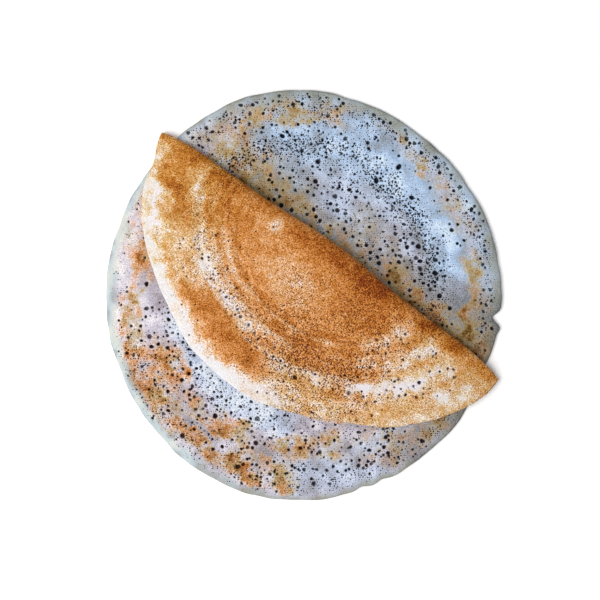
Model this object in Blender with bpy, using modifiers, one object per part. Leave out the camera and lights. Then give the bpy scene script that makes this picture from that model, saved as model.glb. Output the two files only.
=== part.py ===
"""Two dosas as served: an open one lying pore side up, and a folded one resting on it.

Metres, +Z up. The origin is under the open dosa's middle, on the surface that it lies on.
Both are rounds of fermented rice batter, thick in the middle and thin at the rim. The folded one is
modelled as it is made: a flat oval sheet, rolled over a soft, puffed fold along its long axis, that
then sinks onto the open dosa under it.
"""

import math

import bmesh
import bpy
from mathutils import Matrix, Vector

MM = 0.001

# The bread itself.
THICKNESS = 2.4 * MM
RIM_SHARE = 0.42  # the rim's thickness as a share of the middle's
RIM_START = 0.80  # share of the radius where the bread starts to thin
RESTING_GAP = 0.4 * MM  # between two layers that lie on each other

# The open dosa.
OPEN_RADIUS = 105.1 * MM
# Its outline's waves: how many there are in a turn, their height as a share of the radius, and where one peaks.
OPEN_WAVES = ((1, 0.0073, 48.0), (2, 0.0187, -88.0), (3, 0.0066, -6.0), (4, 0.0040, 3.0), (5, 0.0032, 32.0))
RIM_LIFT = 0.9 * MM  # how far the crisp rim curls off the surface
OPEN_STEPS = 180

# The folded dosa: a sheet, FOLD_HALF_LENGTH each way along its fold.
FOLD_HALF_LENGTH = 109.0 * MM
FLAP_REACH = 92.6 * MM  # flat length from the fold to the flap's edge
UNDER_REACH = 89.0 * MM  # the same for the layer under the flap
SHEET_POWER = 1.78  # of the superellipse, where 2 is an oval and less is more pointed
FOLD_MIDDLE = Vector((14.4 * MM, 21.8 * MM, 0.0))  # from the open dosa's middle
FOLD_TURN = math.radians(-36.2)

# The fold's own shape, in the middle of its length and at its two ends.
LOOP_DEPTH = (9.0 * MM, 1.4 * MM)  # how far back the bread takes to turn round
LOOP_RISE = (7.2 * MM, 1.8 * MM)  # between the middles of the two layers at the fold
FOLD_CROWN = 3.0 * MM  # how far the puffed middle stands out past the rest of the fold
FOLD_SHOULDER = 2.4 * MM  # how far the fold stands out past the straight line between its tips
CROWN_SPREAD = 0.30  # of the half length
SLOPE_LENGTH = 46.0 * MM  # over which the flap comes down to lie on the layer below
FLAP_WAVE = 0.7 * MM  # how far the flap's crisp edge stays off the layer below, in places
TIP_DROOP = 1.6 * MM  # how far the tips sink past the open dosa's rim

SHEET_COLUMNS, SHEET_ROWS = 36, 34


def smooth_step(x):
    x = min(1.0, max(0.0, x))
    return x * x * (3.0 - 2.0 * x)


def thickness_share(radius_share):
    """1 over the middle of a dosa, down to RIM_SHARE at its rim."""
    return 1.0 - (1.0 - RIM_SHARE) * smooth_step((radius_share - RIM_START) / (1.0 - RIM_START))


def dent(angle, place_deg, width_deg, depth):
    """A bell-shaped dent in an outline, or with a negative depth a bump."""
    away = (angle - math.radians(place_deg) + math.pi) % (2.0 * math.pi) - math.pi
    return depth * math.exp(-((away / math.radians(width_deg)) ** 2))


def open_outline(angle):
    """The open dosa's radius: hand-spread, so longer one way and wavy, and torn at the right."""
    waves = sum(
        height * math.cos(count * (angle - math.radians(peak_deg)))
        for count, height, peak_deg in OPEN_WAVES
    )
    dents = (
        dent(angle, -6.1, 1.5, 4.0 * MM)
        + dent(angle, -9.2, 1.2, -1.2 * MM)
        + dent(angle, -21.0, 7.0, 2.0 * MM)
        + dent(angle, -66.5, 1.8, 1.1 * MM)
        + dent(angle, -72.8, 1.8, 1.3 * MM)
    )
    return OPEN_RADIUS * (1.0 + waves) - dents


def rim_curl(share, angle):
    """How far the open dosa's underside is off the surface at a share of its radius."""
    waves = 0.65 + 0.35 * math.sin(4.0 * angle + 0.8)
    return RIM_LIFT * waves * smooth_step((share - RIM_START) / (1.0 - RIM_START))


def open_top(x, y):
    """The height of the open dosa's top over a place, and past its rim the height that bread droops to."""
    angle = math.atan2(y, x)
    share = math.hypot(x, y) / open_outline(angle)
    past = smooth_step((share - 1.0) / 0.12)
    share = min(share, 1.0)
    return THICKNESS * thickness_share(share) + rim_curl(share, angle) - TIP_DROOP * past


def new_material(name, colour, roughness):
    material = bpy.data.materials.new(name)
    material.use_nodes = True
    shader = material.node_tree.nodes["Principled BSDF"]
    shader.inputs["Base Color"].default_value = (*colour, 1.0)
    shader.inputs["Roughness"].default_value = roughness
    shader.inputs["Metallic"].default_value = 0.0
    material.diffuse_color = (*colour, 1.0)
    return material


def finish_object(obj, collection, material):
    for owner in list(obj.users_collection):
        owner.objects.unlink(obj)
    collection.objects.link(obj)
    obj.data.materials.clear()
    obj.data.materials.append(material)
    obj.data.shade_smooth()
    obj.data.set_sharp_from_angle(angle=math.radians(50.0))
    return obj


def open_profile():
    """Half the open dosa's section, from the middle of its top over the rim to the middle below."""
    top_shares = (0.0, 0.35, 0.65, 0.80, 0.88, 0.94, 0.985)
    under_shares = (0.985, 0.90, 0.80, 0.40, 0.0)
    top = [(share, THICKNESS * thickness_share(share)) for share in top_shares]
    edge = [(1.0, 0.55 * THICKNESS * RIM_SHARE)]
    under = [(share, 0.0) for share in under_shares]
    return [(share * OPEN_RADIUS, 0.0, height) for share, height in top + edge + under]


def make_open_dosa(collection, material):
    """A turned lens of bread, then pulled out to its hand-spread outline with a curled rim."""
    points = open_profile()
    mesh = bpy.data.meshes.new("open_dosa_profile")
    mesh.from_pydata(points, [(i, i + 1) for i in range(len(points) - 1)], [])
    profile = bpy.data.objects.new("open_dosa_profile", mesh)
    collection.objects.link(profile)
    screw = profile.modifiers.new("turn", "SCREW")
    screw.axis = "Z"
    screw.angle = 2.0 * math.pi
    screw.steps = OPEN_STEPS
    screw.render_steps = OPEN_STEPS
    screw.use_merge_vertices = True
    screw.merge_threshold = 0.00001
    screw.use_smooth_shade = True
    bpy.context.view_layer.update()
    evaluated = profile.evaluated_get(bpy.context.evaluated_depsgraph_get())
    turned = bpy.data.meshes.new_from_object(evaluated)
    bpy.data.objects.remove(profile)
    for vertex in turned.vertices:
        share = math.hypot(vertex.co.x, vertex.co.y) / OPEN_RADIUS
        if share < 1e-6:
            continue
        angle = math.atan2(vertex.co.y, vertex.co.x)
        pull = open_outline(angle) / OPEN_RADIUS
        grown = 1.0 + (pull - 1.0) * smooth_step(share)
        vertex.co.x *= grown
        vertex.co.y *= grown
        vertex.co.z += rim_curl(share, angle)
    turned.name = "open_dosa"
    obj = bpy.data.objects.new("open_dosa", turned)
    return finish_object(obj, collection, material)


def round_off(u, v):
    """A point of the square grid, -1 to 1 each way, moved to the unit disc."""
    return u * math.sqrt(1.0 - v * v / 2.0), v * math.sqrt(1.0 - u * u / 2.0)


def sheet_reach(angle):
    """How far the flat sheet reaches along and across the fold, in a direction of the unit disc."""
    along, across = abs(math.cos(angle)), abs(math.sin(angle))
    share = (along**SHEET_POWER + across**SHEET_POWER) ** (-1.0 / SHEET_POWER)
    share -= dent(abs(angle), 169.5, 6.5, 0.030) + dent(abs(angle), 9.0, 9.0, -0.012)
    if angle > 0.0:
        share -= dent(angle, 124.0, 14.0, 0.020) + dent(angle, 61.0, 17.0, 0.046)
        return FOLD_HALF_LENGTH * share, FLAP_REACH * share
    return FOLD_HALF_LENGTH * share, UNDER_REACH * share


def flat_place(u, v):
    """Where a grid point lies on the flat sheet, along and across the fold, and its share of the radius."""
    x, y = round_off(u, v)
    radius = math.hypot(x, y)
    along, across = sheet_reach(math.atan2(y, x))
    if radius < 1e-9:
        return 0.0, 0.0, 0.0
    return along * x, across * y, radius


def between(pair, share):
    """From the first of a pair, in the middle of the fold, to the second, at its ends."""
    return pair[0] + (pair[1] - pair[0]) * share


def fold_place(along, across, radius_share):
    """The folded sheet's middle surface over a flat place. The flap has positive across, and ends on top."""
    length_share = min(1.0, abs(along) / FOLD_HALF_LENGTH)
    to_end = length_share**2.2
    depth = between(LOOP_DEPTH, to_end)
    rise = between(LOOP_RISE, to_end) / 2.0
    quarter = math.pi / 2.0 * math.sqrt((depth**2 + rise**2) / 2.0)
    shoulder = FOLD_SHOULDER * (1.0 - length_share**12)
    crown = FOLD_CROWN * math.exp(-((along / FOLD_HALF_LENGTH / CROWN_SPREAD) ** 2))
    bread = THICKNESS * thickness_share(radius_share)
    if abs(across) < quarter:
        turn = across / quarter * math.pi / 2.0
        back = depth * (1.0 - math.cos(turn))
        height = bread / 2.0 + rise + rise * math.sin(turn)
    else:
        back = depth + abs(across) - quarter
        height = bread / 2.0
        if across > 0.0:
            wave = 0.5 + 0.5 * math.sin(along / (17.0 * MM) + 1.0)
            crisp = FLAP_WAVE * wave * smooth_step((radius_share - 0.7) / 0.3)
            resting = bread + RESTING_GAP + crisp
            fallen = smooth_step((back - depth) / SLOPE_LENGTH)
            height += resting + max(0.0, 2.0 * rise - resting) * (1.0 - fallen)
    return Vector((along, back - shoulder - crown, height))


def make_folded_dosa(collection, material):
    """An oval sheet with more rows near its fold, rolled over the fold and given its thickness."""
    to_world = Matrix.Translation(FOLD_MIDDLE) @ Matrix.Rotation(FOLD_TURN + math.pi, 4, "Z")
    form = bmesh.new()
    bmesh.ops.create_grid(form, x_segments=SHEET_COLUMNS, y_segments=SHEET_ROWS, size=1.0)
    shares = []
    for vertex in form.verts:
        across = math.copysign(abs(vertex.co.y) ** 1.55, vertex.co.y)
        along, across, share = flat_place(vertex.co.x, across)
        place = fold_place(-along, across, share)
        on_open = to_world @ place
        place.z += open_top(on_open.x, on_open.y) + RESTING_GAP
        vertex.co = place
        shares.append(share)
    bmesh.ops.recalc_face_normals(form, faces=form.faces)
    mesh = bpy.data.meshes.new("folded_dosa")
    form.to_mesh(mesh)
    form.free()
    obj = bpy.data.objects.new("folded_dosa", mesh)
    finish_object(obj, collection, material)
    group = obj.vertex_groups.new(name="full_thickness")
    for index, share in enumerate(shares):
        weight = (thickness_share(share) - RIM_SHARE) / (1.0 - RIM_SHARE)
        group.add([index], weight, "REPLACE")
    shell = obj.modifiers.new("bread_thickness", "SOLIDIFY")
    shell.thickness = THICKNESS
    shell.offset = 0.0
    shell.vertex_group = group.name
    shell.thickness_vertex_group = RIM_SHARE
    shell.use_rim = True
    obj.matrix_world = to_world
    return obj


def main():
    for obj in list(bpy.data.objects):
        bpy.data.objects.remove(obj)
    dosas = bpy.data.collections.new("dosas")
    bpy.context.scene.collection.children.link(dosas)
    crumb = new_material("pale_porous_crumb", (0.66, 0.68, 0.72), 0.62)
    crust = new_material("griddle_browned_crust", (0.58, 0.27, 0.09), 0.55)
    make_open_dosa(dosas, crumb)
    make_folded_dosa(dosas, crust)


main()
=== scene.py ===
"""Looks of two dosas: an open one lying pore side up, and a folded one, browned side out, across it.

Each bread is cut, pored and browned as a flat sheet, in millimetres, and then laid in place: the open
one flat, the other over its fold. The sheets repeat the CAD model's shape, so they fill its solids.
"""

import math

import bpy
import numpy as np
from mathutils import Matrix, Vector
from mathutils.geometry import delaunay_2d_cdt


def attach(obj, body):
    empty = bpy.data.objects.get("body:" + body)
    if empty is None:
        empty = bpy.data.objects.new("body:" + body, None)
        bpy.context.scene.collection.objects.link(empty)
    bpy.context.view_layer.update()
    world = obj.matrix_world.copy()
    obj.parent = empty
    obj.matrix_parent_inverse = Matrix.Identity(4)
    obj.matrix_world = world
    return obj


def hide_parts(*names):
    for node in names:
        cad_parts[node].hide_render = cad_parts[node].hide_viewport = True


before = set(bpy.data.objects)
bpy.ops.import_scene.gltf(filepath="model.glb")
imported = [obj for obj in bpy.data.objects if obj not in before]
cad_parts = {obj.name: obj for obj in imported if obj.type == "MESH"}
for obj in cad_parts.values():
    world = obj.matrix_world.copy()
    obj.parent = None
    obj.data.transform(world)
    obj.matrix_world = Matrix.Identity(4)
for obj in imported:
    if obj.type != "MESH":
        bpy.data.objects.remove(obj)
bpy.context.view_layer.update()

MM = 0.001

# The breads' shape, in millimetres, as the CAD model has it.
THICKNESS = 2.4
RIM_SHARE = 0.42
RIM_START = 0.80
RESTING_GAP = 0.4
OPEN_RADIUS = 105.1
# The open dosa's rim is wavy: how many waves, how high as a share of the radius, and where one peaks.
OPEN_WAVES = (
    (1, 0.0073, 48.0),
    (2, 0.0187, -88.0),
    (3, 0.0066, -6.0),
    (4, 0.0040, 3.0),
    (5, 0.0032, 32.0),
)
# It is torn, too: where, how wide in degrees, and how deep. A depth below 0 is a tag that sticks out.
OPEN_TEARS = (
    (-6.1, 1.5, 4.0),
    (-9.2, 1.2, -1.2),
    (-21.0, 7.0, 2.0),
    (-66.5, 1.8, 1.1),
    (-72.8, 1.8, 1.3),
)
RIM_LIFT = 0.9
FOLD_HALF_LENGTH = 109.0
FLAP_REACH = 92.6
UNDER_REACH = 89.0
SHEET_POWER = 1.78
FOLD_MIDDLE = (14.4, 21.8)
FOLD_TURN = math.radians(-36.2)
# The fold's loop at the middle of its length, and at its ends.
LOOP_DEPTH = (9.0, 1.4)
LOOP_RISE = (7.2, 1.8)
FOLD_CROWN = 3.0
FOLD_SHOULDER = 2.4
CROWN_SPREAD = 0.30
SLOPE_LENGTH = 46.0
FLAP_WAVE = 0.7
TIP_DROOP = 1.6

# The meshes' fineness. Distances are in millimetres.
FINE_SPACING = 1.35  # between points of the open dosa's pore side
FOLD_FINE_SPACING = 1.0  # of the folded dosa's browned side
INNER_SPACING = 2.7  # of the folded dosa's inner side, near its fold
COARSE_SPACING = 4.0  # on a side that lies against something
NEAR_FOLD = 14.0  # how far from the fold a sheet is kept fine
RIM_POINTS = 620
RIM_RINGS = ((1.0, 1), (0.990, 1), (0.976, 2))  # share of the radius, and one in how many rim points
LATTICE_EDGE = 0.966  # the share of the radius where the points between the pores end
LATTICE_REACH = (112.0, 110.0)  # how far they are laid out from a sheet's middle, along u and v
ROW_GAP = 0.87  # between rows of even triangles, as a share of their side
JITTER = 0.22  # how far they are shifted at random, as a share of that side
PORE_POINT_GAP = 0.45  # between points round a pore
PORE_POINTS = (7, 14)  # the fewest and most of them
GRID = 0.25  # the grid that keeps pores and points apart

# Pores. Distances are in millimetres.
DEEPEST_PORE = 1.8
LAST_PORE_SHARE = 0.985  # the crisp rim past this share of the radius has none
JOINED_CHANCE = 0.14  # the share of large bubbles that burst into a neighbour
LARGE_BUBBLE = 0.55  # and the radius from which one is large
# How deep and how dark a pore is, as shares, from its middle at 0 past its edge at 1.
PORE_DEPTHS = ((0.0, 0.42, 0.76, 1.0, 1.12), (1.0, 0.96, 0.70, 0.14, 0.0))
PORE_SHADOWS = ((0.0, 0.76, 1.0, 1.15), (1.0, 0.92, 0.42, 0.0))
KEPT_ROUND_PORE = 0.30  # how far from its edge the mesh points between pores stay
PORE_GAP = 0.05  # and how much farther a scattered pore stays, unless it is a burst neighbour

# The map of a bread's two sides.
MAP_REACH = 113.0  # how far from a sheet's middle it reaches, in millimetres
MAP_DISC = 0.285  # and how far that is in the map
SHOWN_DISC, HIDDEN_DISC = 0.293, 0.707  # where each side's middle lies, both across and up

# Patterns of the two finishes, in millimetres.
CLOUD_SIZE = 9.0  # broad unevenness of the batter
FILM_SIZE = 3.4  # the crumb's film, thick and thin
GRIT_SIZE = 0.68  # grains of ground rice: real ones of 0.4 mm are too fine to show
PATCH_SIZE = 3.0  # spots where the crust lay closer to the iron
FRECKLE_SIZE = 0.62  # specks in the crust: real ones of 0.3 mm are too fine to show
LADLE_LINE, LADLE_RUN = 2.0, 20.0  # across the lines that the ladle left, and along them
PINHOLE_SPACING = 1.15
BURN_SPACING = 1.0

# Both finishes are cooked rice starch, which is matt.
STARCH_IOR = 1.45
STARCH_GLOSS = 0.14
BUMP_STRENGTH = 0.6
WHITE = (1.0, 1.0, 1.0, 1.0)


# ---------------------------------------------------------------- small helpers


def smooth_step(x):
    x = np.clip(x, 0.0, 1.0)
    return x * x * (3.0 - 2.0 * x)


def bell(x):
    return np.exp(-(x**2))


def plateau(x):
    """A bell with a flat top and steep sides."""
    return bell(x**2)


def between(pair, share):
    return pair[0] + (pair[1] - pair[0]) * share


def away_from(angle_deg, place_deg):
    """The angle between two directions, from -180 to 180."""
    return (angle_deg - place_deg + 180.0) % 360.0 - 180.0


def mottle(u, v, size, seed):
    """Smooth random unevenness over a sheet, -1 to 1, with lumps about size mm across."""
    count = 256
    lattice = np.random.default_rng(seed).uniform(-1.0, 1.0, (count, count))
    x, y = np.asarray(u) / size + count / 2, np.asarray(v) / size + count / 2
    column, row = np.floor(x).astype(int), np.floor(y).astype(int)
    fx, fy = smooth_step(x - column), smooth_step(y - row)
    column, next_column = column % count, (column + 1) % count
    row, next_row = row % count, (row + 1) % count
    near = lattice[row, column] * (1 - fx) + lattice[row, next_column] * fx
    far = lattice[next_row, column] * (1 - fx) + lattice[next_row, next_column] * fx
    return near * (1 - fy) + far * fy


def rough_mottle(u, v, size, seed):
    """Mottle with finer mottle on it."""
    broad = mottle(u, v, size, seed)
    medium = mottle(u, v, size / 2.1, seed + 1)
    fine = mottle(u, v, size / 4.3, seed + 2)
    return (broad + 0.5 * medium + 0.25 * fine) / 1.3


def paint_arc(value, ring, angle_deg, arc):
    """Draws value towards a target along an arc: ring, half width, two end angles, target and cover."""
    place, half_width, start, end, target, cover = arc
    middle, half = (start + end) / 2.0, (end - start) / 2.0
    ends = smooth_step((half + 5.0 - np.abs(away_from(angle_deg, middle))) / 10.0)
    return value + (target - value) * cover * ends * plateau((ring - place) / half_width)


def paint_patch(value, u, v, patch):
    """Draws value towards a target over an oval: its middle, its two half sizes, target and cover."""
    middle_u, middle_v, half_u, half_v, target, cover = patch
    away = np.hypot((u - middle_u) / half_u, (v - middle_v) / half_v)
    return value + (target - value) * cover * plateau(away)


# ---------------------------------------------------------------- the flat sheets


def rim_rag(angle):
    """The fine raggedness of a crisp rim, as a share of the radius."""
    return (
        0.0022 * np.sin(17.0 * angle + 1.3)
        + 0.0016 * np.sin(29.0 * angle + 0.4) * np.sin(3.0 * angle)
        + 0.0012 * np.sin(53.0 * angle + 2.0) * np.sin(5.0 * angle + 1.0)
    )


def open_outline(angle):
    """The open dosa's radius in a direction: hand-spread, so wavy, and torn at the right."""
    angle = np.asarray(angle)
    radius = OPEN_RADIUS * (1.0 + rim_rag(angle))
    for count, height, peak_deg in OPEN_WAVES:
        radius = radius + OPEN_RADIUS * height * np.cos(count * (angle - math.radians(peak_deg)))
    for place_deg, width_deg, depth in OPEN_TEARS:
        radius = radius - depth * bell(away_from(np.degrees(angle), place_deg) / width_deg)
    return radius


def open_shares(u, v):
    """A place on the open dosa as a share of its radius, and its direction."""
    angle = np.arctan2(v, u)
    return np.hypot(u, v) / open_outline(angle), angle


def open_rim(angle):
    radius = open_outline(angle)
    return radius * np.cos(angle), radius * np.sin(angle)


def sheet_outline(angle):
    """The folded dosa's outline in a direction of its oval, as a share: pointed, a little uneven."""
    angle = np.asarray(angle)
    power = SHEET_POWER
    share = (np.abs(np.cos(angle)) ** power + np.abs(np.sin(angle)) ** power) ** (-1.0 / power)
    degrees = np.degrees(angle)
    blunt_end = 0.030 * bell((np.abs(degrees) - 169.5) / 6.5)
    full_end = 0.012 * bell((np.abs(degrees) - 9.0) / 9.0)
    share = share - blunt_end + full_end
    flap = 0.020 * bell((degrees - 124.0) / 14.0) + 0.046 * bell((degrees - 61.0) / 17.0)
    return share - np.where(degrees > 0.0, flap, 0.0) + 0.8 * rim_rag(angle)


def sheet_shares(u, v):
    """A place on the flat folded sheet as a share of its outline, and its direction in the oval."""
    across = np.asarray(v) / np.where(np.asarray(v) > 0.0, FLAP_REACH, UNDER_REACH)
    along = np.asarray(u) / FOLD_HALF_LENGTH
    angle = np.arctan2(across, along)
    return np.hypot(along, across) / sheet_outline(angle), angle


def sheet_rim(angle):
    share = sheet_outline(angle)
    side = np.where(np.sin(angle) > 0.0, FLAP_REACH, UNDER_REACH)
    return FOLD_HALF_LENGTH * share * np.cos(angle), side * share * np.sin(angle)


def fold_sizes(u):
    """The loop's depth, half its height and quarter length, and how far back the crease is pulled."""
    length_share = np.minimum(1.0, np.abs(u) / FOLD_HALF_LENGTH)
    to_end = length_share**2.2
    depth = between(LOOP_DEPTH, to_end)
    rise = between(LOOP_RISE, to_end) / 2.0
    quarter = math.pi / 2.0 * np.sqrt((depth**2 + rise**2) / 2.0)
    crown = FOLD_CROWN * bell(u / FOLD_HALF_LENGTH / CROWN_SPREAD)
    pulled_back = FOLD_SHOULDER * (1.0 - length_share**12) + crown
    return depth, rise, quarter, pulled_back


def thickness_at(share):
    """The bread's thickness at a share of its radius."""
    thin = smooth_step((share - RIM_START) / (1.0 - RIM_START))
    return THICKNESS * (1.0 - (1.0 - RIM_SHARE) * thin)


def rim_curl(share, angle):
    """How far the open dosa's underside is off the surface."""
    waves = 0.65 + 0.35 * np.sin(4.0 * angle + 0.8)
    return RIM_LIFT * waves * smooth_step((share - RIM_START) / (1.0 - RIM_START))


def open_top(x, y):
    """The height of the open dosa's top, and past its rim the height that bread droops to."""
    share, angle = open_shares(x, y)
    past = smooth_step((share - 1.0) / 0.12)
    share = np.minimum(share, 1.0)
    return thickness_at(share) + rim_curl(share, angle) - TIP_DROOP * past


# ---------------------------------------------------------------- laying the sheets in place


def lay_flat(u, v):
    """The middle surface of the open dosa."""
    share, angle = open_shares(u, v)
    share = np.minimum(share, 1.0)
    return np.stack([u, v, rim_curl(share, angle) + thickness_at(share) / 2.0], axis=1)


def lay_folded(u, v):
    """The middle surface of the folded dosa. The flap has positive v, and ends on top."""
    radius_share = np.minimum(sheet_shares(u, v)[0], 1.0)
    depth, rise, quarter, pulled_back = fold_sizes(u)
    bread = thickness_at(radius_share)

    # The sheet goes round the loop, and then straight on over or under.
    turn = np.clip(v / quarter, -1.0, 1.0) * math.pi / 2.0
    past_turn = np.maximum(0.0, np.abs(v) - quarter)
    back = depth * (1.0 - np.cos(turn)) + past_turn
    # The flap comes down from the crown, and rests on the layer below but for its wavy crisp edge.
    wave = 0.5 + 0.5 * np.sin(-u / 17.0 + 1.0)
    crisp = FLAP_WAVE * wave * smooth_step((radius_share - 0.7) / 0.3)
    resting = bread + RESTING_GAP + crisp
    fallen = smooth_step((back - depth) / SLOPE_LENGTH)
    top = resting + np.maximum(0.0, 2.0 * rise - resting) * (1.0 - fallen)
    round_part = rise + rise * np.sin(turn)
    flat_part = np.where(v > 0.0, top, 0.0)
    height = bread / 2.0 + np.where(np.abs(v) < quarter, round_part, flat_part)

    out = back - pulled_back
    cos, sin = math.cos(FOLD_TURN), math.sin(FOLD_TURN)
    x = FOLD_MIDDLE[0] + u * cos + out * sin
    y = FOLD_MIDDLE[1] + u * sin - out * cos
    return np.stack([x, y, height + open_top(x, y) + RESTING_GAP], axis=1)


def with_normals(lay, u, v):
    """Where a sheet's middle surface is, and which way its u by v side faces there."""
    step = 0.05
    along = lay(u + step, v) - lay(u - step, v)
    across = lay(u, v + step) - lay(u, v - step)
    normal = np.cross(along, across)
    normal /= np.linalg.norm(normal, axis=1)[:, None]
    return lay(u, v), normal


# ---------------------------------------------------------------- pores


class Pore:
    """One burst bubble: its place, size, stretch and lean, how dark inside and how pale around."""

    def __init__(self, rng, u, v, radius, depth):
        self.u, self.v, self.radius, self.depth = u, v, radius, depth
        self.stretch = 1.0 + rng.uniform(0.0, 0.38) ** 1.5
        self.lean = rng.uniform(0.0, math.pi)
        self.lobes, self.phase = rng.uniform(0.0, 0.11), rng.uniform(0.0, 6.3)
        self.shadow = rng.uniform(0.72, 1.0)
        self.dimple = rng.uniform(0.0, 0.16)
        self.pale = max(0.0, rng.uniform(-0.3, 1.0))

    def reach(self, angle):
        """How far its edge is in a direction."""
        turned = angle - self.lean
        oval = self.radius / np.hypot(np.cos(turned) / self.stretch, np.sin(turned) * self.stretch)
        return oval * (1.0 + self.lobes * np.cos(3.0 * turned + self.phase))

    def points(self, rng):
        """Rings of mesh points over it and just outside it."""
        count = int(np.clip(round(2.0 * math.pi * self.radius / PORE_POINT_GAP), *PORE_POINTS))
        sizes = [1.0 + 0.28 / self.radius, 1.0]
        if self.radius > 0.42:
            sizes.append(0.76)
        if self.radius > 0.75:
            sizes.append(0.42)
        turn = rng.uniform(0.0, 6.3)
        found = [(self.u, self.v)]
        for index, size in enumerate(sizes):
            angles = turn + (np.arange(count) + 0.5 * (index % 2)) * 2.0 * math.pi / count
            for angle, far in zip(angles, self.reach(angles) * size):
                found.append((self.u + far * math.cos(angle), self.v + far * math.sin(angle)))
        return found


class PoreBoard:
    """A grid over a flat sheet that keeps pores, and later the points between them, off each other."""

    def __init__(self):
        count = int(2 * MAP_REACH / GRID)
        self.taken = np.zeros((count, count), bool)

    def window(self, u, v, radius):
        low_u, low_v = (int((place - radius + MAP_REACH) / GRID) for place in (u, v))
        high_u, high_v = (int((place + radius + MAP_REACH) / GRID) + 2 for place in (u, v))
        cells_u = (np.arange(low_u, high_u) + 0.5) * GRID - MAP_REACH
        cells_v = (np.arange(low_v, high_v) + 0.5) * GRID - MAP_REACH
        near = (cells_u[None, :] - u) ** 2 + (cells_v[:, None] - v) ** 2 < radius**2
        return (slice(low_v, high_v), slice(low_u, high_u)), near

    def is_free(self, u, v, radius):
        place, near = self.window(u, v, radius)
        return not (self.taken[place] & near).any()

    def take(self, u, v, radius):
        place, near = self.window(u, v, radius)
        self.taken[place] |= near

    def free_points(self, u, v):
        column = ((u + MAP_REACH) / GRID).astype(int)
        row = ((v + MAP_REACH) / GRID).astype(int)
        return ~self.taken[row, column]


def bubble_radius(rng, low, high):
    """Many small bubbles and few large ones."""
    return low + (high - low) * rng.random() ** 2.4


def scatter_pores(rng, board, shares, place_on_ring, placed, arcs):
    """Pores given one by one, as (u, v, radius), and then pores along arcs of the bread's rings."""
    pores = []

    def try_pore(u, v, radius, gap):
        share = shares(u, v)[0]
        if share > LAST_PORE_SHARE or not board.is_free(u, v, radius + gap):
            return
        depth = min(DEEPEST_PORE, 0.35 + 1.25 * radius, 0.72 * float(thickness_at(share)))
        pores.append(Pore(rng, u, v, radius, depth))
        board.take(u, v, radius + KEPT_ROUND_PORE)

    for u, v, radius in placed:
        try_pore(u, v, radius, 0.0)
    for place, width, start, end, count, low, high in arcs:
        for _ in range(count):
            u, v = place_on_ring(rng.normal(place, width), math.radians(rng.uniform(start, end)))
            radius = bubble_radius(rng, low, high)
            try_pore(u, v, radius, PORE_GAP)
            # Some bubbles burst into their neighbour.
            if rng.random() < JOINED_CHANCE and radius > LARGE_BUBBLE:
                turn, far = rng.uniform(0.0, 6.3), radius * rng.uniform(1.2, 1.6)
                beside_u, beside_v = u + far * math.cos(turn), v + far * math.sin(turn)
                try_pore(beside_u, beside_v, radius * rng.uniform(0.5, 0.8), -0.9 * radius)
    return pores


def pore_hollows(u, v, pores):
    """How deep, dark and pale the pores make each point. Where two run together the stronger counts."""
    sink, dark, pale = np.zeros_like(u), np.zeros_like(u), np.zeros_like(u)
    for pore in pores:
        reach = 3.6 * pore.radius + 0.5
        near = np.flatnonzero((np.abs(u - pore.u) < reach) & (np.abs(v - pore.v) < reach))
        du, dv = u[near] - pore.u, v[near] - pore.v
        away = np.hypot(du, dv) / pore.reach(np.arctan2(dv, du))
        hollow = pore.depth * np.interp(away, *PORE_DEPTHS)
        hollow = hollow + np.where(away > 1.0, pore.dimple * bell((away - 1.0) / 0.7), 0.0)
        shadow = pore.shadow * np.interp(away, *PORE_SHADOWS)
        sink[near] = np.maximum(sink[near], hollow)
        dark[near] = np.maximum(dark[near], shadow)
        # The batter round a large bubble lifts off the iron, and stays pale.
        large = np.clip((pore.radius - 0.3) / 0.5, 0.0, 1.0)
        halo = pore.pale * large * bell(np.maximum(0.0, away - 1.1) / 1.2)
        pale[near] = np.maximum(pale[near], halo)
    return sink, dark, pale


def lattice_points(rng, spacing, shares, inner_share):
    """Points of an uneven triangular lattice inside a share of a sheet's outline."""
    reach_u, reach_v = LATTICE_REACH
    rows = np.arange(-reach_v, reach_v, spacing * ROW_GAP)
    columns = np.arange(-reach_u, reach_u, spacing)
    u, v = np.meshgrid(columns, rows)
    u = u + (np.arange(len(rows)) % 2)[:, None] * spacing / 2
    u = (u + rng.uniform(-JITTER, JITTER, u.shape) * spacing).ravel()
    v = (v + rng.uniform(-JITTER, JITTER, v.shape) * spacing).ravel()
    inside = shares(u, v)[0] < inner_share
    return u[inside], v[inside]


# ---------------------------------------------------------------- one bread as a closed mesh


def everywhere(u, v):
    return np.ones(len(u), bool)


def nowhere(u, v):
    return np.zeros(len(u), bool)


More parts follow.
